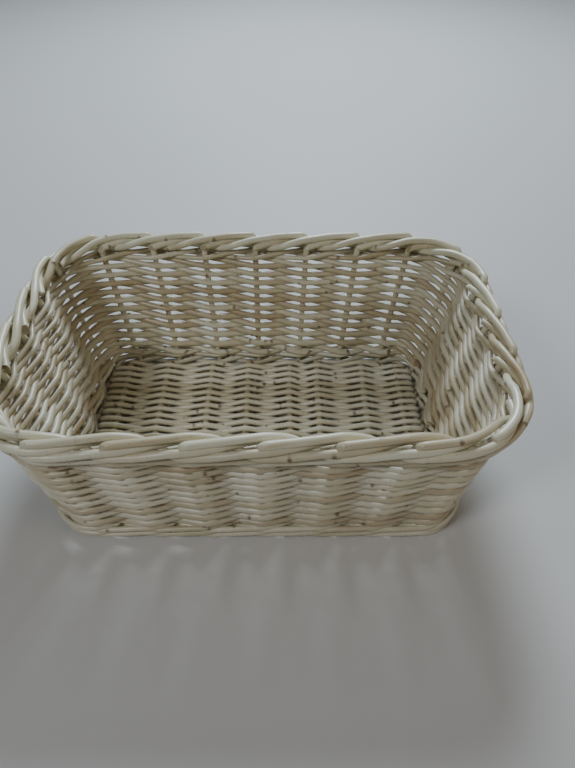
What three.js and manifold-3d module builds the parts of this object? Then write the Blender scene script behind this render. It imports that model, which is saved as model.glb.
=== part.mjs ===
// A rectangular open basket of whole willow rods, woven by hand, in millimetres.
//
// It is built as the real one is. Eight base sticks carry a plain woven base. Twenty-four stakes
// stand round it, and their own tops are bent over to the right to make the rim, each one behind
// the next stake, in front of two, and behind the fourth. Twenty-four side weavers fill the walls:
// each starts at its own stake and climbs one layer for every stake that it passes. A wale of three
// strands locks the stakes at the foot, and another closes the siding below the rim.
//
// +X is the long way, +Y goes from the front to the back, and +Z is up. The origin is in the middle
// of the footprint, on the surface that the basket stands on.

import * as THREE from 'three';
import { mergeVertices } from 'three/addons/utils/BufferGeometryUtils.js';
import Module from 'manifold-3d';

const wasm = await Module();
wasm.setup();

// Driving dimensions.
const height = 118.5;
const foot = { length: 275, width: 181, corner: 30 };
const rim = { length: 331, width: 219, corner: 58 };
const gap = 0.3;

const stakeCount = 24;
const stakesPerSide = stakeCount / 4;
const stakeRadius = 2.2;
const stakeOffsetInBorder = 5.9;
const stakeFootLevel = 1.2;
// Places of the front right, back right, back left and front left corner stakes, as parts of the
// way round the basket from the middle of the front.
const cornerStations = [0.1377, 0.377, 0.632, 0.873];

const weaverSize = 3.2;
const weaverOffset = 5.3;
const weaverLayers = 22;
const weaverTail = 0.12;

const waleSize = 2.7;
const waleOffset = 5.4;
const waleRise = 3.5;
const footWaleRounds = 2;
const topWaleRounds = 1;
const waleStrands = 3;
const waleLap = 0.02;

const stickRadius = 2.2;
const stickPlaces = [-113.5, -81, -43, -12, 23, 46, 84, 113.5];
const baseLift = 1;
const baseRodSize = 3;
const baseRows = 40;
const baseRowPitch = 3.6;
const baseWeaverCount = 2;
const baseWeaverOffset = 4.3;
const loopReach = 7;
const cornerLoopReach = 4.3;
const cornerRows = 3;

// Levels that follow from them.
const footWaleTop = 2 * footWaleRounds * waleRise;
const borderThickness = 14.5;
const borderBottom = height - borderThickness;
const topWaleBottom = borderBottom - 2 * topWaleRounds * waleRise;
const firstLayerLevel = footWaleTop + 2 * gap;
const lastLayerLevel = topWaleBottom - gap - weaverSize / 2;
const layerPitch = (lastLayerLevel - firstLayerLevel) / (weaverLayers - 1);

const materials = {
  stake: { color: 0xc2b48c, roughness: 0.55 },
  weaver: { color: 0xcbbd98, roughness: 0.5 },
  wale: { color: 0xc7b892, roughness: 0.5 },
  baseStick: { color: 0xb39d74, roughness: 0.6 },
  baseWeaver: { color: 0xbfae84, roughness: 0.55 },
};

// The line that the stakes stand on, as a rounded rectangle that grows from foot to rim.
function stakeLine(z) {
  const part = z / height;
  const inset = THREE.MathUtils.lerp(weaverOffset + weaverSize / 2, stakeOffsetInBorder + stakeRadius, part);
  return {
    halfLength: THREE.MathUtils.lerp(foot.length, rim.length, part) / 2 - inset,
    halfWidth: THREE.MathUtils.lerp(foot.width, rim.width, part) / 2 - inset,
    corner: THREE.MathUtils.lerp(foot.corner, rim.corner, part) - inset,
  };
}

// The place and the outward direction at a part of the way round a rounded rectangle, from the
// middle of its front side and to the right. Each quarter is a mirror image of the first.
function alongOutline({ halfLength, halfWidth, corner }, part) {
  const straightX = halfLength - corner;
  const straightY = halfWidth - corner;
  const bend = Math.PI / 2 * corner;
  const quarterLength = straightX + bend + straightY;
  const turns = (part - Math.floor(part)) * 4;
  const quarter = Math.floor(turns);
  const along = (quarter % 2 ? quarter + 1 - turns : turns - quarter) * quarterLength;
  const angle = THREE.MathUtils.clamp((along - straightX) / corner, 0, Math.PI / 2);
  const outward = new THREE.Vector2(Math.sin(angle), Math.cos(angle));
  const place = new THREE.Vector2(
    Math.min(along, straightX) + corner * outward.x,
    straightY + corner * outward.y - Math.max(along - straightX - bend, 0),
  );
  const mirror = new THREE.Vector2(quarter < 2 ? 1 : -1, quarter === 1 || quarter === 2 ? 1 : -1);
  return { place: place.multiply(mirror), outward: outward.multiply(mirror) };
}

// The part of the way round at which a stake stands. Stake 0 is the front left corner stake, and
// the numbers run to the right along the front. Between two corner stakes the spaces are even.
function stationOf(stake) {
  const turns = Math.floor(stake / stakeCount);
  const inTurn = stake - turns * stakeCount;
  const side = Math.floor(inTurn / stakesPerSide);
  const start = side === 0 ? cornerStations[3] - 1 : cornerStations[side - 1];
  const share = inTurn / stakesPerSide - side;
  return turns + THREE.MathUtils.lerp(start, cornerStations[side], share);
}

// A point of the wall: its place among the stakes, its distance outside the stake line, its level.
function wallPoint(stake, offset, z) {
  const { place, outward } = alongOutline(stakeLine(z), stationOf(stake));
  place.addScaledVector(outward, offset);
  return new THREE.Vector3(place.x, place.y, z);
}

// A rod turns the corner of the basket in the first space after a corner stake of a long side and
// in the last space before one, so those spaces need more points.
function turnsCorner(space) {
  const inHalf = THREE.MathUtils.euclideanModulo(space, 2 * stakesPerSide);
  return inHalf === stakesPerSide || inHalf === 2 * stakesPerSide - 1;
}

// Points along a stretch of wall. The steps are parts of a space between stakes.
function wallPath(from, to, stepsPerSpace, offsetAt, levelAt) {
  const places = [from];
  for (let space = Math.floor(from); space < to; space += 1) {
    const steps = turnsCorner(space) ? 4 : stepsPerSpace;
    for (let step = 0; step < steps; step += 1) {
      const place = space + step / steps;
      if (place > from && place < to) places.push(place);
    }
  }
  places.push(to);
  return places.map((place) => wallPoint(place, offsetAt(place), levelAt(place)));
}

// A rod's centre line, in straight runs from point to point. A level rod keeps its section upright.
class RodPath extends THREE.Curve {
  constructor(points, keepsUpright) {
    super();
    this.points = points;
    this.keepsUpright = keepsUpright;
  }

  getPoint(t) {
    const reach = t * (this.points.length - 1);
    const index = Math.min(Math.floor(reach), this.points.length - 2);
    return this.points[index].clone().lerp(this.points[index + 1], reach - index);
  }

  getPointAt(u) {
    return this.getPoint(u);
  }

  getTangentAt(u) {
    const index = Math.round(u * (this.points.length - 1));
    const here = this.points[index];
    const back = this.points[Math.max(index - 1, 0)];
    const ahead = this.points[Math.min(index + 1, this.points.length - 1)];
    const tangent = new THREE.Vector3();
    if (back !== here) tangent.add(here.clone().sub(back).normalize());
    if (ahead !== here) tangent.add(ahead.clone().sub(here).normalize());
    return tangent.normalize();
  }

  computeFrenetFrames(segments, closed) {
    if (!this.keepsUpright) return super.computeFrenetFrames(segments, closed);
    const up = new THREE.Vector3(0, 0, 1);
    const tangents = [];
    for (let step = 0; step <= segments; step += 1) tangents.push(this.getTangentAt(step / segments));
    const normals = tangents.map((tangent) => tangent.clone().cross(up).normalize());
    const binormals = tangents.map((tangent, index) => tangent.clone().cross(normals[index]));
    return { tangents, normals, binormals };
  }
}

function squareSection(size) {
  const half = size / 2;
  const corners = [[-half, -half], [half, -half], [half, half], [-half, half]];
  return new THREE.Shape(corners.map(([x, y]) => new THREE.Vector2(x, y)));
}

function roundSection(radius, sides) {
  const corners = [];
  for (let side = 0; side < sides; side += 1) {
    const angle = (side + 0.5) / sides * 2 * Math.PI;
    corners.push(new THREE.Vector2(Math.cos(angle), Math.sin(angle)).multiplyScalar(radius));
  }
  return new THREE.Shape(corners);
}

function rodGeometry(points, section, keepsUpright) {
  return new THREE.ExtrudeGeometry(section, {
    steps: points.length - 1,
    extrudePath: new RodPath(points, keepsUpright),
  });
}

function rodMesh(name, geometry, { color, roughness }) {
  const mesh = new THREE.Mesh(geometry, new THREE.MeshStandardMaterial({ color, roughness, metalness: 0 }));
  mesh.name = name;
  return mesh;
}

function numbered(name, index) {
  return `${name}_${String(index + 1).padStart(2, '0')}`;
}

// Whole-number layers lie inside and outside the stakes in turn.
function makeSideWeaver(index) {
  const layerAt = (place) => THREE.MathUtils.clamp(place - index, 0, weaverLayers - 1);
  const offsetAt = (place) => {
    const layer = layerAt(place);
    const share = layer - Math.floor(layer);
    const side = Math.floor(layer) % 2 ? 1 : -1;
    return side * (1 - 2 * share) * weaverOffset;
  };
  const levelAt = (place) => firstLayerLevel + layerAt(place) * layerPitch;
  const end = index + weaverLayers - 1;
  const points = wallPath(index - weaverTail, end + weaverTail, 1, offsetAt, levelAt);
  const geometry = rodGeometry(points, squareSection(weaverSize), true);
  return rodMesh(numbered('side_weaver', index), geometry, materials.weaver);
}

// One strand of a wale runs inside one stake and outside the next two. It stays high while it goes
// in, drops behind the stake, comes out low, and rises between the two stakes that it passes.
const waleOffsets = [-1, 0, 1, 1, 1, 0];
const waleLevels = [0.5, 0, 0, 0.5, 1, 1];

function inWaleCycle(values, place) {
  const half = THREE.MathUtils.euclideanModulo(place * 2, values.length);
  const index = Math.floor(half) % values.length;
  return THREE.MathUtils.lerp(values[index], values[(index + 1) % values.length], half - Math.floor(half));
}

function waleStrand(first, bottom) {
  const offsetAt = (place) => waleOffset * inWaleCycle(waleOffsets, place - first);
  const levelAt = (place) => bottom + waleSize / 2 + waleRise * inWaleCycle(waleLevels, place - first);
  const points = wallPath(first, first + stakeCount + waleLap, 2, offsetAt, levelAt);
  return rodGeometry(points, squareSection(waleSize), true);
}

function toSolid(geometry) {
  const bare = new THREE.BufferGeometry();
  bare.setAttribute('position', geometry.getAttribute('position'));
  const merged = mergeVertices(bare);
  return new wasm.Manifold(new wasm.Mesh({
    numProp: 3,
    vertProperties: new Float32Array(merged.getAttribute('position').array),
    triVerts: new Uint32Array(merged.getIndex().array),
  }));
}

function toGeometry(solid) {
  const { vertProperties, triVerts } = solid.getMesh();
  const geometry = new THREE.BufferGeometry();
  geometry.setAttribute('position', new THREE.BufferAttribute(vertProperties, 3));
  geometry.setIndex(new THREE.BufferAttribute(triVerts, 1));
  return geometry;
}

// The ends of the strands are laid along the inside of the first three stakes, from round to round.
function waleEnds(bottom, rounds) {
  const points = [];
  for (let round = 0; round < rounds; round += 1) {
    const level = bottom + waleSize / 2 + waleRise * (2 * round + waleLevels[0]);
    for (let strand = 0; strand < waleStrands; strand += 1) {
      const stake = round % 2 ? waleStrands - 1 - strand : strand;
      points.push(wallPoint(stake, -waleOffset, level));
    }
  }
  return rodGeometry(points, squareSection(waleSize - gap), false);
}

// The strands and their ends hold each other, so a wale is one locking ring.
function makeWale(name, bottom, rounds) {
  let ring = toSolid(waleEnds(bottom, rounds));
  for (let round = 0; round < rounds; round += 1) {
    for (let strand = 0; strand < waleStrands; strand += 1) {
      ring = ring.add(toSolid(waleStrand(strand, bottom + 2 * waleRise * round)));
    }
  }
  // Where two strands just touch, the join can leave a loose speck, so only the ring is kept.
  const bodies = ring.decompose().sort((a, b) => b.volume() - a.volume());
  return rodMesh(name, toGeometry(bodies[0]), materials.wale);
}

// A stake is one rod: the upright in the wall, the knee, and its stroke in the border.
const knee = { level: 12.3, run: 0.06 };
const borderRun = [
  { spaces: 0.5, offset: -0.5, level: 12.3 },
  { spaces: 1, offset: -1, level: 9 },
  { spaces: 1.35, offset: -0.4, level: 2.4 },
  { spaces: 1.9, offset: 1, level: 2.3 },
  { spaces: 2.4, offset: 1.05, level: 3.8 },
  { spaces: 2.8, offset: 1.05, level: 7.6 },
  { spaces: 3.15, offset: 0.9, level: 7.8 },
  { spaces: 3.55, offset: 0.1, level: 7.8 },
  { spaces: 4.02, offset: -1, level: 2.6 },
];

function makeStake(index) {
  const points = [
    wallPoint(index, 0, stakeFootLevel),
    wallPoint(index, 0, borderBottom + knee.level - stakeRadius),
    wallPoint(index + knee.run, 0, borderBottom + knee.level),
  ];
  for (const { spaces, offset, level } of borderRun) {
    points.push(wallPoint(index + spaces, offset * stakeOffsetInBorder, borderBottom + level));
  }
  const geometry = rodGeometry(points, roundSection(stakeRadius, 6), false);
  return rodMesh(numbered('stake', index), geometry, materials.stake);
}

const stickLevel = baseLift + baseRodSize / 2 + baseWeaverOffset;

function makeBaseStick(index) {
  const inner = stakeLine(stickLevel);
  const wallInside = waleOffset + waleSize / 2 + gap;
  const clearCorner = inner.corner - wallInside;
  const beyondStraight = Math.max(Math.abs(stickPlaces[index]) + stickRadius - inner.halfLength + inner.corner, 0);
  const cornerLoss = clearCorner - Math.sqrt(clearCorner ** 2 - beyondStraight ** 2);
  const halfLength = inner.halfWidth - wallInside - cornerLoss;
  const points = [-halfLength, halfLength].map((y) => new THREE.Vector3(stickPlaces[index], y, stickLevel));
  const geometry = rodGeometry(points, roundSection(stickRadius, 6), true);
  return rodMesh(numbered('base_stick', index), geometry, materials.baseStick);
}

// A base weaver goes over and under the sticks, round the last one, and back beside itself.
function baseRowPoints(row, y) {
  const toRight = row % 2 === 0;
  const sticks = toRight ? stickPlaces : [...stickPlaces].reverse();
  return sticks.map((x, order) => {
    const side = order % 2 ? 1 : -1;
    return new THREE.Vector3(x, y, stickLevel + side * baseWeaverOffset);
  });
}

function baseTurnPoints(row, y) {
  const toRight = row % 2 === 0;
  const direction = toRight ? 1 : -1;
  const inCorner = row < cornerRows || row >= baseRows - cornerRows;
  const reach = inCorner ? cornerLoopReach : loopReach;
  const stick = direction * stickPlaces[stickPlaces.length - 1];
  const turn = [[0.75, 0.25, 0.75], [1, 0.5, 0], [0.75, 0.75, -0.75]];
  return turn.map(([out, over, up]) => new THREE.Vector3(
    stick + direction * out * reach,
    y + over * baseRowPitch,
    stickLevel + up * baseWeaverOffset,
  ));
}

function makeBaseWeaver(index) {
  const rowsEach = baseRows / baseWeaverCount;
  const points = [];
  for (let row = index * rowsEach; row < (index + 1) * rowsEach; row += 1) {
    const y = (row - (baseRows - 1) / 2) * baseRowPitch;
    points.push(...baseRowPoints(row, y));
    if (row < (index + 1) * rowsEach - 1) points.push(...baseTurnPoints(row, y));
  }
  const geometry = rodGeometry(points, roundSection(baseRodSize / 2, 4), false);
  return rodMesh(numbered('base_weaver', index), geometry, materials.baseWeaver);
}

const basket = new THREE.Group();
for (let index = 0; index < stickPlaces.length; index += 1) basket.add(makeBaseStick(index));
for (let index = 0; index < baseWeaverCount; index += 1) basket.add(makeBaseWeaver(index));
basket.add(makeWale('foot_wale', 0, footWaleRounds));
for (let index = 0; index < stakeCount; index += 1) basket.add(makeSideWeaver(index));
basket.add(makeWale('top_wale', topWaleBottom, topWaleRounds));
for (let index = 0; index < stakeCount; index += 1) basket.add(makeStake(index));

export default basket;
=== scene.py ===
"""A hand-woven rectangular willow basket, rod by rod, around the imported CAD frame."""

import math

import bpy
import numpy as np
from mathutils import Matrix, Vector


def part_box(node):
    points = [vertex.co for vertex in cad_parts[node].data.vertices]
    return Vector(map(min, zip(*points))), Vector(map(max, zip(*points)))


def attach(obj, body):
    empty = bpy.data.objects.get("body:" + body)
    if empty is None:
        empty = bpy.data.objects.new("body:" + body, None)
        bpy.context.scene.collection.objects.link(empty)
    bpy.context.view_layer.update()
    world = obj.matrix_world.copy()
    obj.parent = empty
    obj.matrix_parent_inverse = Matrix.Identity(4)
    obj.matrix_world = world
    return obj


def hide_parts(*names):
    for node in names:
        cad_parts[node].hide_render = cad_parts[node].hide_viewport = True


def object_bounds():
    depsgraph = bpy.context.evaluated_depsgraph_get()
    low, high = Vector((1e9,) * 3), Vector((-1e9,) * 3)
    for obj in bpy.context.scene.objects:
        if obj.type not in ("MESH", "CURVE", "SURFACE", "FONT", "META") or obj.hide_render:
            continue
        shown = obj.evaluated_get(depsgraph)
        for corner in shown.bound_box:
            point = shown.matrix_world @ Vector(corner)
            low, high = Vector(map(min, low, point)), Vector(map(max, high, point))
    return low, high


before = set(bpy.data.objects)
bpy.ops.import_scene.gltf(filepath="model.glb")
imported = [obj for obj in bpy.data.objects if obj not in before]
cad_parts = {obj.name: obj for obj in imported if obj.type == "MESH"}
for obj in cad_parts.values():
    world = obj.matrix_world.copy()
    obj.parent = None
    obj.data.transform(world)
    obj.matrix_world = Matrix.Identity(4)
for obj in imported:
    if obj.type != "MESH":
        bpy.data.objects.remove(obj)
cad_low, cad_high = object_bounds()

MM = 0.001
FULL_TURN = 2 * math.pi
SEED = 20
rng = np.random.default_rng(SEED)

# ---------------------------------------------------------------- places read from the frame

# The stakes stand on a line that is this far inside the rim at the top, with corners of these radii.
RIM_INSET = 6.9 * MM
FOOT_CORNER = 23.3 * MM
RIM_CORNER = 49.9 * MM
# The lowest ring of a CAD stake is what lies this near its lowest point.
FOOT_DEPTH = 1 * MM
SAME_POINT_DECIMALS = 5
OUTLINE_SAMPLES = 8000


def numbered(name, index):
    return f"{name}_{index + 1:02d}"


def count_nodes(name):
    return sum(entry.startswith(name + "_") and entry[-2:].isdigit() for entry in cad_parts)


STAKES = count_nodes("stake")
SIDE_WEAVERS = count_nodes("side_weaver")
STICKS = count_nodes("base_stick")
BASE_WEAVERS = count_nodes("base_weaver")


def stake_foot(index):
    """The middle of the lowest ring of a CAD stake."""
    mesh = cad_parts[numbered("stake", index)].data
    points = np.empty(len(mesh.vertices) * 3)
    mesh.vertices.foreach_get("co", points)
    points = points.reshape(-1, 3)
    ring = points[points[:, 2] < points[:, 2].min() + FOOT_DEPTH]
    return np.unique(ring.round(SAME_POINT_DECIMALS), axis=0).mean(axis=0)


FEET = np.array([stake_foot(index) for index in range(STAKES)])
FOOT_LEVEL = FEET[:, 2].mean()
# Half length, half width and corner radius of the stake line, at the floor and at the top.
FOOT_LINE = np.array([FEET[:, 0].max(), FEET[:, 1].max(), FOOT_CORNER])
RIM_LINE = np.array([cad_high.x - RIM_INSET, cad_high.y - RIM_INSET, RIM_CORNER])
TOP = cad_high.z


def stake_line(z):
    """Half length, half width and corner radius of the stake line at each height."""
    part = np.asarray(z, float) / TOP
    return FOOT_LINE + np.multiply.outer(part, RIM_LINE - FOOT_LINE)


def along_outline(part, z):
    """Places and outward directions at parts of the way round, from the middle of the front.

    Every quarter of the way is the same line from the middle of a long side to the middle of a
    short one, mirrored.
    """
    half_length, half_width, corner = np.moveaxis(stake_line(z), -1, 0)
    straight_x = half_length - corner
    straight_y = half_width - corner
    bend = math.pi / 2 * corner
    turns = (part % 1) * 4
    quarter = np.floor(turns).astype(int)
    share = np.where(quarter % 2, quarter + 1 - turns, turns - quarter)
    along = share * (straight_x + bend + straight_y)
    angle = np.clip((along - straight_x) / corner, 0, math.pi / 2)
    outward = np.stack([np.sin(angle), np.cos(angle)], axis=-1)
    x = np.minimum(along, straight_x) + corner * outward[..., 0]
    y = straight_y + corner * outward[..., 1] - np.maximum(along - straight_x - bend, 0)
    mirror = np.stack([
        np.where(quarter < 2, 1, -1),
        np.where((quarter == 1) | (quarter == 2), 1, -1),
    ], axis=-1)
    return np.stack([x, y], axis=-1) * mirror, outward * mirror


def station_of(foot):
    """The part of the way round at which a stake stands."""
    parts = np.linspace(0, 1, OUTLINE_SAMPLES, endpoint=False)
    places, _ = along_outline(parts, np.full(parts.shape, foot[2]))
    return parts[np.argmin(np.hypot(*(places - foot[:2]).T))]


def stake_stations():
    """Every stake's part of the way round, always rising, with the first stake again at the end."""
    parts = np.array([station_of(foot) for foot in FEET])
    # The first stake is near the start, so it can lie just before the end of the way round.
    parts[0] -= 1 if parts[0] > 0.5 else 0
    parts = np.unwrap(parts * FULL_TURN) / FULL_TURN
    return np.append(parts, parts[0] + 1)


STATIONS = stake_stations()


def wall_points(stake, offset, z):
    """Points of the wall: place among the stakes, distance outside the stake line, height."""
    stake, offset, z = np.broadcast_arrays(np.asarray(stake, float), offset, z)
    turns = np.floor(stake / STAKES)
    part = np.interp(stake - turns * STAKES, np.arange(STAKES + 1), STATIONS)
    place, outward = along_outline(part, z)
    place = place + outward * offset[..., None]
    return np.column_stack([place, z])


# ---------------------------------------------------------------- lines that the rods follow

NEARLY_UPRIGHT = 0.9
WAVE_SPREAD = (0.7, 1.6)
WAVES = 3


def steps(points):
    return np.linalg.norm(np.diff(points, axis=0), axis=1)


def distances(points):
    """How far along a line each of its points is."""
    return np.r_[0, np.cumsum(steps(points))]


def smooth(values, width, step):
    """A running mean along a line, weighted to its middle, over about width."""
    reach = max(int(width / step / 2), 1)
    kernel = np.hanning(2 * reach + 3)[1:-1]
    kernel /= kernel.sum()
    padded = np.pad(values, [(reach, reach), (0, 0)], mode="reflect", reflect_type="odd")
    return np.column_stack([np.convolve(column, kernel, "valid") for column in padded.T])


def resample(points, step):
    """Points at even steps along a line, and how far along it each one is."""
    lengths = distances(points)
    count = max(int(lengths[-1] / step), 2)
    even = np.linspace(0, lengths[-1], count)
    return np.column_stack([np.interp(even, lengths, column) for column in points.T]), even


def frames_along(points):
    """The direction of the rod at each point, and two across it that are carried along."""
    tangents = np.gradient(points, axis=0)
    tangents /= np.linalg.norm(tangents, axis=1)[:, None]
    across = np.empty_like(points)
    guide = [0, 0, 1] if abs(tangents[0][2]) < NEARLY_UPRIGHT else [1, 0, 0]
    start = np.cross(tangents[0], guide)
    across[0] = start / np.linalg.norm(start)
    for index in range(1, len(points)):
        carried = across[index - 1] - tangents[index] * (across[index - 1] @ tangents[index])
        across[index] = carried / np.linalg.norm(carried)
    return tangents, across, np.cross(tangents, across)


def wavering(along, wave_length):
    """A slow random wave along a rod, from about -1 to 1."""
    total = np.zeros_like(along)
    for _ in range(WAVES):
        length = wave_length * rng.uniform(*WAVE_SPREAD)
        total += np.sin(along / length * FULL_TURN + rng.uniform(0, FULL_TURN))
    return total / WAVES


# ---------------------------------------------------------------- rods

RING_STEP = 1.3 * MM
THIN_ROD_SIDES = 14
THICK_ROD_SIDES = 18
# A rod isn't quite round or even: these are parts of its radius, and the lengths of the changes.
SWELL = 0.03
SWELL_LENGTH = 50 * MM
OVAL = 0.025
LOBES = 0.012
TWIST_LENGTHS = (120 * MM, 300 * MM)
KNOT_SPACING = 55 * MM
KNOT_LENGTH = 1.6 * MM
KNOT_WIDTH = 0.35
KNOT_HEIGHT = 0.16
KNOT_MARK = 0.9
# A low scar runs round the rod at each knot.
SCAR_LENGTH = 0.6 * KNOT_LENGTH
SCAR_HEIGHT = 0.03
SCAR_MARK = 0.25
# A cut end is closed by a smaller ring that stands out a little.
END_SIZE = 0.86
END_BULGE = 0.08
# Each rod takes its own piece of the grain and its own tone, which drifts along it.
GRAIN_RANGE = 50
TONE_RANGE = (0.15, 0.95)
TONE_DRIFT = 0.18
TONE_DRIFT_LENGTH = 250 * MM


def fade(distance, length):
    """1 at no distance, falling to 0 over about length."""
    return np.exp(-(distance / length) ** 2)


def rod_skin(along, angles, twist, dark):
    """How far the surface stands out, as a part of the radius, and how dark its marks are."""
    swell = 1 + SWELL * wavering(along, SWELL_LENGTH)
    oval = OVAL * np.cos(2 * (angles[None] - twist[:, None]))
    lobes = LOBES * np.cos(3 * angles[None] + 2 * twist[:, None])
    scale = swell[:, None] * (1 + oval + lobes)
    marks = np.zeros(scale.shape)
    for _ in range(int(along[-1] / KNOT_SPACING)):
        place = rng.uniform(0, along[-1])
        facing = rng.uniform(0, FULL_TURN)
        knot = fade(along - place, KNOT_LENGTH)[:, None] * fade(np.sin((angles - facing) / 2), KNOT_WIDTH)
        scar = fade(along - place, SCAR_LENGTH)[:, None]
        scale = scale + KNOT_HEIGHT * knot + SCAR_HEIGHT * scar
        marks += KNOT_MARK * knot + SCAR_MARK * scar
    for place, length, strength in dark:
        marks += strength * fade(along - place, length)[:, None]
    return scale, marks


def close_ends(rings, tangents, radius, angles, twist, cut):
    """The rings with their ends cut at a slant, and with a smaller ring added in each end."""
    bulge = END_BULGE * radius.mean()
    closing = []
    for ring, slant, sign in ((0, cut[0], -1), (-1, cut[1], 1)):
        lean = slant * radius[ring] * np.cos(angles - twist[ring])
        rings[ring] += sign * lean[:, None] * tangents[ring]
        middle = rings[ring].mean(axis=0)
        closing.append(middle + (rings[ring] - middle) * END_SIZE + sign * tangents[ring] * bulge)
    return np.concatenate([closing[:1], rings, closing[1:]])


def tube_faces(count, sides):
    """Four-sided faces between neighbouring rings, and one face across each end."""
    row = np.arange(count - 1)[:, None] * sides
    column = np.arange(sides)[None]
    ahead = (column + 1) % sides
    corners = [row + column, row + ahead, row + sides + ahead, row + sides + column]
    faces = np.stack(corners, axis=-1).reshape(-1, 4).tolist()
    faces.append(list(range(sides))[::-1])
    faces.append(list(range((count - 1) * sides, count * sides)))
    return faces


def tube_mesh(name, rings):
    """A closed tube through the rings, smooth except at its ends."""
    count, sides, _ = rings.shape
    faces = tube_faces(count, sides)
    mesh = bpy.data.meshes.new(name)
    mesh.from_pydata(rings.reshape(-1, 3).tolist(), [], faces)
    smooth_faces = np.ones(len(faces), bool)
    smooth_faces[:sides] = False
    smooth_faces[-2 - sides:] = False
    mesh.polygons.foreach_set("use_smooth", smooth_faces)
    return mesh


def store(mesh, name, kind, values):
    stored = mesh.attributes.new(name, kind, "POINT").data
    field = "vector" if kind == "FLOAT_VECTOR" else "value"
    stored.foreach_set(field, np.asarray(values, np.float32).ravel())


def with_ends(values):
    """Values for the rings, with the first and the last repeated for the rings in the ends."""
    return np.concatenate([values[:1], values, values[-1:]])


def paint_rod(mesh, along, radius, angles, marks):
    """What the willow material reads at each point of a rod: grain, tone, marks and cut ends."""
    along = with_ends(along)
    radius = with_ends(radius)
    grain = np.empty((len(along), len(angles), 3))
    grain[..., 0] = along[:, None] + rng.uniform(0, GRAIN_RANGE)
    grain[..., 1] = radius[:, None] * np.cos(angles)[None]
    grain[..., 2] = radius[:, None] * np.sin(angles)[None]
    tones = rng.uniform(*TONE_RANGE) + TONE_DRIFT * wavering(along, TONE_DRIFT_LENGTH)
    ends = np.zeros(len(along))
    ends[[0, -1]] = 1
    store(mesh, "grain", "FLOAT_VECTOR", grain)
    store(mesh, "tone", "FLOAT", np.repeat(tones.clip(0, 1), len(angles)))
    store(mesh, "mark", "FLOAT", with_ends(marks).clip(0, 1))
    store(mesh, "cut_end", "FLOAT", np.repeat(ends, len(angles)))


def make_rod(name, points, radius, sides=THIN_ROD_SIDES, dark=(), cut=(0.0, 0.0)):
    """A round rod along points, with its own thickness, bark marks and cut ends.

    radius is a number or one value for each point. dark is a list of (distance, length, strength)
    marks where the rod is bruised or bent. cut is the slant of each end, in radii.
    """
    lengths = distances(points)
    points, along = resample(points, RING_STEP)
    radius = np.interp(along, lengths, np.broadcast_to(radius, lengths.shape))
    tangents, across, upward = frames_along(points)
    angles = np.linspace(0, FULL_TURN, sides, endpoint=False)
    twist = rng.uniform(0, FULL_TURN) + along / rng.uniform(*TWIST_LENGTHS)
    scale, marks = rod_skin(along, angles, twist, dark)
    sideways = np.cos(angles)[None, :, None] * across[:, None]
    rounds = sideways + np.sin(angles)[None, :, None] * upward[:, None]
    rings = points[:, None] + rounds * (radius[:, None] * scale)[..., None]
    mesh = tube_mesh(name, close_ends(rings, tangents, radius, angles, twist, cut))
    paint_rod(mesh, along, radius, angles, marks)
    mesh.validate()
    piece = bpy.data.objects.new(name, mesh)
    bpy.context.scene.collection.objects.link(piece)
    return piece


# ---------------------------------------------------------------- materials


def colour(red, green, blue):
    """A colour given as it is seen, from 0 to 255, as the linear value that a shader takes."""
    seen = np.array([red, green, blue]) / 255
    linear = np.where(seen <= 0.04045, seen / 12.92, ((seen + 0.055) / 1.055) ** 2.4)
    return (*linear.tolist(), 1.0)


def set_or_link(tree, socket, value):
    if isinstance(value, bpy.types.NodeSocket):
        tree.links.new(value, socket)
    else:
        socket.default_value = value


def node(tree, kind, inputs=None, **settings):
    made = tree.nodes.new(kind)
    for name, value in settings.items():
        setattr(made, name, value)
    for name, value in (inputs or {}).items():
        set_or_link(tree, made.inputs[name], value)
    return made


def attribute(tree, name, output):
    return node(tree, "ShaderNodeAttribute", attribute_name=name).outputs[output]


def ramp(tree, factor, stops):
    made = node(tree, "ShaderNodeValToRGB", {"Fac": factor})
    elements = made.color_ramp.elements
    while len(elements) < len(stops):
        elements.new(0.5)
    for element, (position, shade) in zip(elements, stops):
        element.position = position
        element.color = shade
    return made.outputs["Color"]


def mixed(tree, factor, first, second, blend="MIX"):
    """A mix of two colours. The node's inputs share their names, so they go by number."""
    made = node(tree, "ShaderNodeMix", data_type="RGBA", blend_type=blend)
    for index, value in ((0, factor), (6, first), (7, second)):
        set_or_link(tree, made.inputs[index], value)
    return made.outputs[2]


def ranged(tree, value, low, high, to_low=0.0, to_high=1.0):
    made = node(tree, "ShaderNodeMapRange", {
        "Value": value, "From Min": low, "From Max": high, "To Min": to_low, "To Max": to_high,
    })
    return made.outputs["Result"]


def noise(tree, place, scales, detail, roughness=0.5):
    """Noise with its own scale along the rod and across it."""
    scaled = node(tree, "ShaderNodeMapping", {"Vector": place, "Scale": scales})
    made = node(tree, "ShaderNodeTexNoise", {
        "Vector": scaled.outputs["Vector"], "Scale": 1.0, "Detail": detail, "Roughness": roughness,
    })
    return made.outputs["Fac"]


COAT = 0.35
COAT_ROUGHNESS = 0.28
MIDDLE_TONE = 0.45
SHADED = (0.86, 0.75, 0.59, 1)
SPECK = colour(112, 74, 42)
STAIN = colour(150, 112, 70)
KNOT = colour(100, 70, 42)
CUT_WOOD = colour(150, 118, 78)


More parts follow.
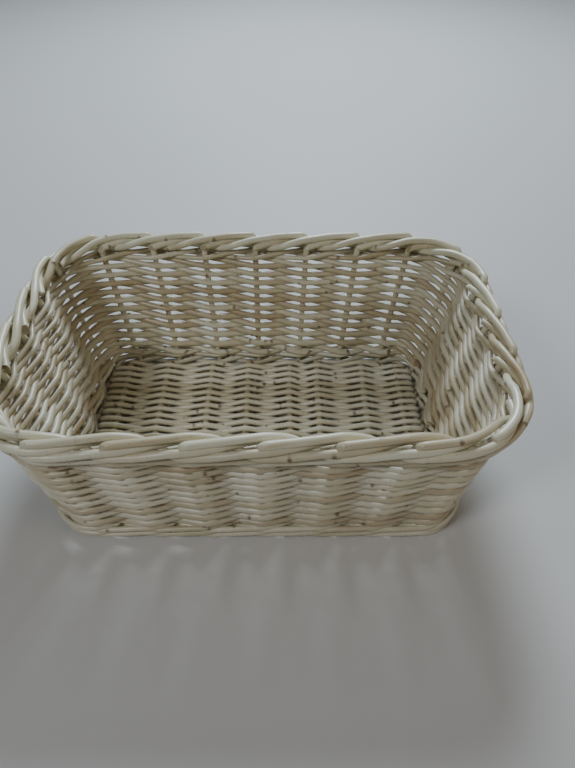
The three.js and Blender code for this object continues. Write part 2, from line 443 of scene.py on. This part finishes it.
def willow_colour(tree, base, fibres, blotches, grain):
    """The rod's own colour with blotches, fibres, specks, stains, knots and cut ends over it."""
    specks = noise(tree, grain, (900, 1500, 1500), detail=1)
    stains = noise(tree, grain, (14, 60, 60), detail=2)
    shaded = mixed(tree, 1.0, base, SHADED, "MULTIPLY")
    # What brings each layer in, the values between which it comes, its strength and its colour.
    layers = (
        (blotches, 0.52, 0.75, 0.75, shaded),
        (fibres, 0.35, 0.7, 0.30, shaded),
        (specks, 0.70, 0.76, 0.75, SPECK),
        (stains, 0.62, 0.75, 0.45, STAIN),
        (attribute(tree, "mark", "Fac"), 0.25, 0.9, 0.85, KNOT),
        (attribute(tree, "cut_end", "Fac"), 0.3, 1.0, 0.5, CUT_WOOD),
    )
    for value, low, high, strength, over in layers:
        base = mixed(tree, ranged(tree, value, low, high, to_high=strength), base, over)
    return base


def willow(name, pale, middle, deep, roughness):
    """Peeled willow: a tone for each rod, fibres along it, and a thin natural shine."""
    material = bpy.data.materials.new(name)
    material.use_nodes = True
    tree = material.node_tree
    shader = tree.nodes["Principled BSDF"].inputs
    grain = attribute(tree, "grain", "Vector")
    fibres = noise(tree, grain, (60, 2600, 2600), detail=3)
    blotches = noise(tree, grain, (28, 160, 160), detail=3, roughness=0.6)
    tone = attribute(tree, "tone", "Fac")
    base = ramp(tree, tone, [(0.0, deep), (MIDDLE_TONE, middle), (1.0, pale)])
    uneven = ranged(tree, blotches, 0.3, 0.7, roughness - 0.08, roughness + 0.12)
    height = mixed(tree, 0.5, fibres, blotches)
    bump = node(tree, "ShaderNodeBump", {"Height": height, "Strength": 0.25, "Distance": 0.4 * MM})
    tree.links.new(willow_colour(tree, base, fibres, blotches, grain), shader["Base Color"])
    tree.links.new(uneven, shader["Roughness"])
    tree.links.new(bump.outputs["Normal"], shader["Normal"])
    shader["Coat Weight"].default_value = COAT
    shader["Coat Roughness"].default_value = COAT_ROUGHNESS
    return material


PALE = colour(220, 216, 194)
DEEP = colour(178, 160, 126)


def stake_willow():
    shades = colour(228, 226, 202), colour(212, 207, 180), colour(190, 175, 140)
    return willow("stake_willow", *shades, roughness=0.42)


def side_weaver_willow():
    return willow("side_weaver_willow", PALE, colour(200, 191, 164), DEEP, roughness=0.42)


def wale_willow():
    return willow("wale_willow", PALE, colour(198, 189, 160), DEEP, roughness=0.42)


def base_stick_willow():
    shades = colour(210, 201, 174), colour(194, 181, 150), colour(174, 159, 127)
    return willow("base_stick_willow", *shades, roughness=0.5)


# Paler than the willow of the walls: partly the base rods' own paler tone, partly painted light that
# brightens the shaded base.
def base_weaver_willow_with_painted_light():
    shades = colour(233, 230, 210), colour(219, 214, 189), colour(202, 191, 160)
    return willow("base_weaver_willow_with_painted_light", *shades, roughness=0.45)


materials = {
    "stake": stake_willow(),
    "side_weaver": side_weaver_willow(),
    "wale": wale_willow(),
    "base_stick": base_stick_willow(),
    "base_weaver": base_weaver_willow_with_painted_light(),
}


def finish_piece(piece, stands_for, slot):
    piece.data.materials.append(materials[slot])
    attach(piece, "root")
    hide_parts(stands_for)


# ---------------------------------------------------------------- the wales

SAMPLES_PER_SPACE = 40
WALE_RADIUS = 1.9 * MM
WALE_TAPER = (1.06, 0.94)
WALE_CUT = (0.4, 0.5)
WALE_STRANDS = 3
# A strand at every half space of its repeat: how far out it is, and how high.
WALE_OFFSET = 5.1 * MM
WALE_OFFSETS = (-1, 0, 1, 1, 1, 0)
WALE_RISE = 3.6 * MM
WALE_LEVELS = (0.5, 0, 0, 0.5, 1, 1)
WALE_EASE = 11 * MM
# A strand starts just before its stake, and steps up over the last part of a round.
WALE_START = -0.35
WALE_STEP_UP = 0.6
FOOT_WALE_ROUNDS = 2
FLOOR_CLEARANCE = 0.36 * MM
# A round is two rises high, and the strands of the last one go up only one of them.
FOOT_WALE_TOP = 2 * FOOT_WALE_ROUNDS * WALE_RISE + 2 * WALE_RADIUS - WALE_RISE
TOP_WALE_ROUNDS = 1
TOP_WALE_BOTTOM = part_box("top_wale")[0].z


def wale_points(first, rounds, bottom):
    """One strand: in front of two stakes, behind the next, and a step up at the end of a round."""
    samples = int(rounds * STAKES * SAMPLES_PER_SPACE)
    travel = np.linspace(WALE_START, rounds * STAKES - WALE_STEP_UP, samples)
    half = (travel * 2) % len(WALE_OFFSETS)
    halves = np.arange(len(WALE_OFFSETS) + 1)
    offset = np.interp(half, halves, WALE_OFFSETS + WALE_OFFSETS[:1]) * WALE_OFFSET
    level = np.interp(half, halves, WALE_LEVELS + WALE_LEVELS[:1]) * WALE_RISE
    for turn in range(1, rounds):
        past = (travel - turn * STAKES + WALE_STEP_UP) / WALE_STEP_UP
        level = level + np.clip(past, 0, 1) * 2 * WALE_RISE
    points = wall_points(first + travel, offset, bottom + WALE_RADIUS + level)
    return smooth(points, WALE_EASE, steps(points).mean())


def make_wale(name, rounds, bottom):
    for strand in range(WALE_STRANDS):
        points = wale_points(strand, rounds, bottom)
        radius = WALE_RADIUS * np.linspace(*WALE_TAPER, len(points))
        piece = make_rod(f"{name}_strand_{strand + 1}", points, radius, cut=WALE_CUT)
        finish_piece(piece, name, "wale")


# ---------------------------------------------------------------- the siding

LAYERS = 22
CROSSINGS = LAYERS - 1
SIDING_HEIGHT = TOP_WALE_BOTTOM - FOOT_WALE_TOP
# The rods press into each other, so they are thicker than their share of the height.
WEAVER_FULLNESS = 1.23
WEAVER_RADIUS = SIDING_HEIGHT / CROSSINGS / 2 * WEAVER_FULLNESS
WEAVER_SPREAD = 0.06
WEAVER_LIMITS = (0.86, 1.14)
BUTT_TO_TIP = (1.14, 0.86)
WEAVER_CUT = (0.8, 0.3)
WEAVER_TAIL = 0.2
TAIL_RISE = 0.6
LONG_WALL_OFFSET = 4.2 * MM
END_WALL_OFFSET = 3.0 * MM
# Near 1, a rod runs straight from stake to stake and turns sharply round them.
TURN_SHARPNESS = 0.985
WEAVER_EASE = 5 * MM
# A rod wanders a little to and fro and up and down, over waves of these lengths.
STAKE_SPACING = 37 * MM
WANDER_OUT = 0.15 * MM
WANDER_OUT_LENGTH = 60 * MM
WANDER_UP = 0.12 * MM
WANDER_UP_LENGTH = 50 * MM


def taper(travel):
    return np.interp(travel, [0, LAYERS - 1], BUTT_TO_TIP)


def crossing_levels(thickness):
    """The height of each rod where it crosses the others between two stakes.

    The rods lie on each other there, so their thicknesses add up from the foot wale to the top
    wale. The table's rows are spaces between stakes, and its columns are layers.
    """
    layers = np.arange(CROSSINGS)
    levels = np.empty((STAKES, CROSSINGS))
    for space in range(STAKES):
        rods = (space - layers) % SIDE_WEAVERS
        sizes = thickness[rods] * taper(layers + 0.5)
        sizes *= SIDING_HEIGHT / sizes.sum()
        levels[space] = FOOT_WALE_TOP + np.cumsum(sizes) - sizes / 2
    return levels


def weaver_offset(stake, z):
    """How far a rod stands out of the stake line, which is less at the ends of the basket."""
    half_length, _, corner = stake_line(z).T
    from_middle = np.abs(wall_points(stake, 0.0, z)[:, 0])
    end_share = np.clip((from_middle - half_length + corner) / corner, 0, 1)
    return LONG_WALL_OFFSET + end_share * (END_WALL_OFFSET - LONG_WALL_OFFSET)


def side_weaver_points(index, levels, travel):
    """Behind one stake and in front of the next, one layer up for each stake."""
    layers = np.arange(CROSSINGS)
    heights = levels[(index + layers) % STAKES, layers]
    ends = [heights[0] - WEAVER_RADIUS, heights[-1] + TAIL_RISE * WEAVER_RADIUS]
    z = np.interp(travel, np.r_[0, layers + 0.5, LAYERS - 1], np.r_[ends[0], heights, ends[1]])
    inside = np.cos(math.pi * np.clip(travel, 0, LAYERS - 1))
    offset = -np.arcsin(TURN_SHARPNESS * inside) / math.asin(TURN_SHARPNESS)
    offset = offset * weaver_offset(index + travel, z)
    along = travel * STAKE_SPACING
    offset = offset + WANDER_OUT * wavering(along, WANDER_OUT_LENGTH)
    z = z + WANDER_UP * wavering(along, WANDER_UP_LENGTH)
    points = wall_points(index + travel, offset, z)
    return smooth(points, WEAVER_EASE, steps(points).mean())


def make_side_weavers():
    thickness = rng.normal(1, WEAVER_SPREAD, SIDE_WEAVERS).clip(*WEAVER_LIMITS)
    levels = crossing_levels(thickness)
    travel = np.linspace(-WEAVER_TAIL, LAYERS - 1 + WEAVER_TAIL, LAYERS * SAMPLES_PER_SPACE)
    for index in range(SIDE_WEAVERS):
        points = side_weaver_points(index, levels, travel)
        radius = WEAVER_RADIUS * thickness[index] * taper(travel)
        name = numbered("side_weaver", index)
        piece = make_rod(name + "_rod", points, radius, cut=WEAVER_CUT)
        finish_piece(piece, name, "side_weaver")


# ---------------------------------------------------------------- stakes and border

STAKE_RADIUS = 2.2 * MM
BORDER_RADIUS = 2.6 * MM
STAKE_SPREAD = 0.035
STAKE_CUT = (0.3, 0.9)
FOOT_SIZE = 1.02
KNEE_SIZE = 0.95
TIP_SIZE = 0.92
KNEE_LEVEL = 10.8 * MM
KNEE_LEAN = 0.45
KNEE_REACH = 6 * MM
KNEE_MARK_LENGTH = 3 * MM
KNEE_MARK = 0.6
BORDER_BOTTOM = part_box("top_wale")[1].z
BORDER_OFFSET = 5.9 * MM
# Points of a stake's run in the border: spaces past the stake, distance outside the stake line in
# border offsets, and height above the top wale in millimetres.
BORDER_RUN = (
    (0.04, 0.6, 11.7), (0.55, 0.15, 12.3), (1.1, -0.6, 11.2), (1.42, -0.8, 7.6),
    (1.68, -0.1, 3.4), (1.95, 1.0, 2.3), (2.4, 1.05, 3.8), (2.8, 1.05, 7.6),
    (3.15, 0.9, 7.9), (3.55, 0.25, 8.0), (3.8, -0.35, 7.4), (4.0, -0.85, 6.0),
)
UPRIGHT_SAMPLES = 90
STROKE_SAMPLES = 220
STAKE_STEP = 1 * MM
STROKE_EASE = 15 * MM
KNEE_EASE = 4 * MM


def upright_points(index):
    """The upright part, which leans out towards its knee above the top wale."""
    z = np.linspace(FOOT_LEVEL, BORDER_BOTTOM + KNEE_LEVEL - STAKE_RADIUS, UPRIGHT_SAMPLES)
    lean = np.interp(z, [BORDER_BOTTOM, z[-1]], [0, KNEE_LEAN * BORDER_OFFSET])
    points, _ = resample(wall_points(np.full(z.shape, index), lean, z), STAKE_STEP)
    return points


def stroke_points(index):
    """The part in the border: behind one stake, in front of two, behind one, and in."""
    spaces, offsets, levels = np.array(BORDER_RUN).T
    travel = np.linspace(spaces[0], spaces[-1], STROKE_SAMPLES)
    offset = np.interp(travel, spaces, offsets) * BORDER_OFFSET
    level = BORDER_BOTTOM + np.interp(travel, spaces, levels) * MM
    points, _ = resample(wall_points(index + travel, offset, level), STAKE_STEP)
    return smooth(points, STROKE_EASE, STAKE_STEP)


def stake_radius(lengths, knee):
    """Thinnest in the knee, and thicker in the border than below it."""
    places = [0, knee - KNEE_REACH, knee, knee + KNEE_REACH, lengths[-1]]
    upright_sizes = [FOOT_SIZE * STAKE_RADIUS, STAKE_RADIUS, KNEE_SIZE * STAKE_RADIUS]
    border_sizes = [BORDER_RADIUS, TIP_SIZE * BORDER_RADIUS]
    return np.interp(lengths, places, upright_sizes + border_sizes)


def make_stakes():
    for index in range(STAKES):
        upright = upright_points(index)
        knee = len(upright) * STAKE_STEP
        points = smooth(np.concatenate([upright, stroke_points(index)]), KNEE_EASE, STAKE_STEP)
        radius = rng.normal(1, STAKE_SPREAD) * stake_radius(distances(points), knee)
        dark = [(knee, KNEE_MARK_LENGTH, KNEE_MARK)]
        name = numbered("stake", index)
        piece = make_rod(name + "_rod", points, radius, THICK_ROD_SIDES, dark, STAKE_CUT)
        finish_piece(piece, name, "stake")


# ---------------------------------------------------------------- the base

STICK_BOXES = [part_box(numbered("base_stick", index)) for index in range(STICKS)]
STICK_PLACES = np.array([(low.x + high.x) / 2 for low, high in STICK_BOXES])
STICK_LEVEL = (STICK_BOXES[0][0].z + STICK_BOXES[0][1].z) / 2
STICK_RADIUS = 2.45 * MM
STICK_SPREAD = 0.04
STICK_SAMPLES = 120
STICK_BOW = 0.5 * MM
STICK_BOW_LENGTH = 120 * MM
STICK_CUT = (0.2, 0.2)

BASE_ROD_RADIUS = 1.92 * MM
BASE_ROD_TAPER = (1.08, 0.92)
BASE_OFFSET = 4.1 * MM
BASE_ROWS = 42
BASE_ROWS_PER_ROD = 5
BASE_RODS = math.ceil(BASE_ROWS / BASE_ROWS_PER_ROD)
# The CAD's rows end where the wales leave room. There is one more row at each side here.
CAD_BASE_LOW, CAD_BASE_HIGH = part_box("base_weaver_01")
BASE_EDGE = CAD_BASE_LOW.y + BASE_ROD_RADIUS
BASE_HALF_WIDTH = -BASE_EDGE * (BASE_ROWS - 1) / (BASE_ROWS - 3)
BASE_PITCH = 2 * BASE_HALF_WIDTH / (BASE_ROWS - 1)
# The turn round the last stick, which reaches in under the wales, less so at the two edges.
EDGE_TUCK = 3.4 * MM
TURN_REACH = CAD_BASE_HIGH.x - STICK_PLACES[-1] + EDGE_TUCK
EDGE_TURN = 0.62
# Parts of the reach, of the way to the next row, and of the offset.
TURN_RUN = ((0.8, 0.2, 0.75), (1, 0.5, 0), (0.8, 0.8, -0.75))
BASE_STEP = 0.6 * MM
BASE_EASE = 6.5 * MM
BASE_WANDER = 0.45 * MM
BASE_WANDER_LENGTH = 90 * MM
BASE_WANDER_UP = 0.5
BASE_WANDER_UP_LENGTH = 60 * MM


def make_base_sticks():
    for index, (low, high) in enumerate(STICK_BOXES):
        y = np.linspace(low.y, high.y, STICK_SAMPLES)
        bow = STICK_BOW * wavering(y, STICK_BOW_LENGTH)
        points = np.column_stack([STICK_PLACES[index] + bow, y, np.full(y.shape, STICK_LEVEL)])
        radius = STICK_RADIUS * rng.normal(1, STICK_SPREAD)
        name = numbered("base_stick", index)
        piece = make_rod(name + "_rod", points, radius, THICK_ROD_SIDES, cut=STICK_CUT)
        finish_piece(piece, name, "base_stick")


def base_row(row):
    """Points of one row and of the turn into the next, over and under the sticks."""
    y = -BASE_HALF_WIDTH + row * BASE_PITCH
    direction = 1 if row % 2 == 0 else -1
    sticks = STICK_PLACES[::direction]
    sides = np.where(np.arange(STICKS) % 2, 1, -1)
    points = [(x, y, STICK_LEVEL + side * BASE_OFFSET) for x, side in zip(sticks, sides)]
    at_edge = row in (0, BASE_ROWS - 2)
    reach = direction * (EDGE_TURN * TURN_REACH if at_edge else TURN_REACH)
    for out, over, up in TURN_RUN:
        points.append((sticks[-1] + out * reach, y + over * BASE_PITCH, STICK_LEVEL + up * BASE_OFFSET))
    return points


def base_rod_points(first_row, rows):
    points = []
    for row in range(first_row, first_row + rows):
        points += base_row(row)
    if first_row + rows >= BASE_ROWS:
        points = points[:-len(TURN_RUN)]
    fine, along = resample(np.array(points), BASE_STEP)
    fine = smooth(fine, BASE_EASE, BASE_STEP)
    fine[:, 1] += BASE_WANDER * wavering(along, BASE_WANDER_LENGTH)
    fine[:, 2] += BASE_WANDER_UP * BASE_WANDER * wavering(along, BASE_WANDER_UP_LENGTH)
    return fine


def make_base_weave():
    """The rods of the base one after another, each standing for its part of the CAD's two."""
    for index in range(BASE_RODS):
        first_row = index * BASE_ROWS_PER_ROD
        rows = min(BASE_ROWS_PER_ROD, BASE_ROWS - first_row)
        points = base_rod_points(first_row, rows)
        radius = BASE_ROD_RADIUS * np.linspace(*BASE_ROD_TAPER, len(points))
        piece = make_rod(f"base_weaver_rod_{index + 1}", points, radius)
        finish_piece(piece, numbered("base_weaver", index * BASE_WEAVERS // BASE_RODS), "base_weaver")


# ---------------------------------------------------------------- floor, light and camera

FLOOR_REACH = 12.0
LIGHT_TARGET = Vector((0, 0, 0.05))
# The camera stands in front of the basket and above it, and looks down at it.
CAMERA_PLACE = Vector((17.6, -303.9, 359.2)) * MM
CAMERA_YAW = 0.010
CAMERA_PITCH = 0.783
CAMERA_ROLL = 0.008
CAMERA_LENS = 28.0
CAMERA_SENSOR = 36
CAMERA_CLIP = 0.01


def floor_material():
    material = bpy.data.materials.new("pale_floor")
    material.use_nodes = True
    shader = material.node_tree.nodes["Principled BSDF"].inputs
    shader["Base Color"].default_value = colour(200, 198, 194)
    shader["Roughness"].default_value = 0.6
    return material


def make_floor(reach):
    mesh = bpy.data.meshes.new("floor")
    corners = [(-reach, -reach, 0), (reach, -reach, 0), (reach, reach, 0), (-reach, reach, 0)]
    mesh.from_pydata(corners, [], [(0, 1, 2, 3)])
    floor = bpy.data.objects.new("floor", mesh)
    bpy.context.scene.collection.objects.link(floor)
    mesh.materials.append(floor_material())


def make_light(name, place, size, power, shade):
    """A round soft light at place, turned to the basket."""
    light = bpy.data.lights.new(name, "AREA")
    light.shape = "DISK"
    light.size = size
    light.energy = power
    light.color = shade
    lamp = bpy.data.objects.new(name, light)
    bpy.context.scene.collection.objects.link(lamp)
    lamp.location = place
    lamp.rotation_euler = (LIGHT_TARGET - Vector(place)).to_track_quat("-Z", "Y").to_euler()


def make_lights():
    """Cool light from behind, as from a window, and two weaker ones from the front."""
    make_light("window", place=(0.1, 1.25, 1.15), size=0.6, power=28, shade=(0.76, 0.88, 1.0))
    make_light("key", place=(-0.8, -0.75, 1.15), size=0.4, power=7.2, shade=(0.90, 0.94, 1.0))
    make_light("fill", place=(1.1, -0.5, 0.9), size=0.8, power=3.1, shade=(1.0, 0.88, 0.74))


def make_world(shade, strength):
    world = bpy.data.worlds.new("studio")
    bpy.context.scene.world = world
    world.use_nodes = True
    background = world.node_tree.nodes["Background"].inputs
    background["Color"].default_value = (*shade, 1)
    background["Strength"].default_value = strength


def camera_turn():
    """The camera's axes, from its yaw to the right, its pitch down and its roll."""
    level = math.cos(CAMERA_PITCH)
    ahead = Vector((math.sin(CAMERA_YAW) * level, math.cos(CAMERA_YAW) * level, -math.sin(CAMERA_PITCH)))
    right = Vector((math.cos(CAMERA_YAW), -math.sin(CAMERA_YAW), 0))
    up = right.cross(ahead)
    rolled_right = right * math.cos(CAMERA_ROLL) + up * math.sin(CAMERA_ROLL)
    rolled_up = up * math.cos(CAMERA_ROLL) - right * math.sin(CAMERA_ROLL)
    return Matrix((rolled_right, rolled_up, -ahead)).transposed()


def make_camera():
    camera = bpy.data.cameras.new("camera")
    camera.lens = CAMERA_LENS
    camera.sensor_width = CAMERA_SENSOR
    camera.clip_start = CAMERA_CLIP
    holder = bpy.data.objects.new("camera", camera)
    bpy.context.scene.collection.objects.link(holder)
    holder.matrix_world = Matrix.Translation(CAMERA_PLACE) @ camera_turn().to_4x4()
    bpy.context.scene.camera = holder


# ---------------------------------------------------------------- the scene

# Each rod draws its own random numbers, so the order of these lines is part of the look.
make_wale("foot_wale", FOOT_WALE_ROUNDS, FLOOR_CLEARANCE)
make_wale("top_wale", TOP_WALE_ROUNDS, TOP_WALE_BOTTOM)
make_side_weavers()
make_stakes()
make_base_sticks()
make_base_weave()

make_floor(FLOOR_REACH)
make_lights()
make_world(shade=(0.94, 0.96, 1.0), strength=0.06)
make_camera()
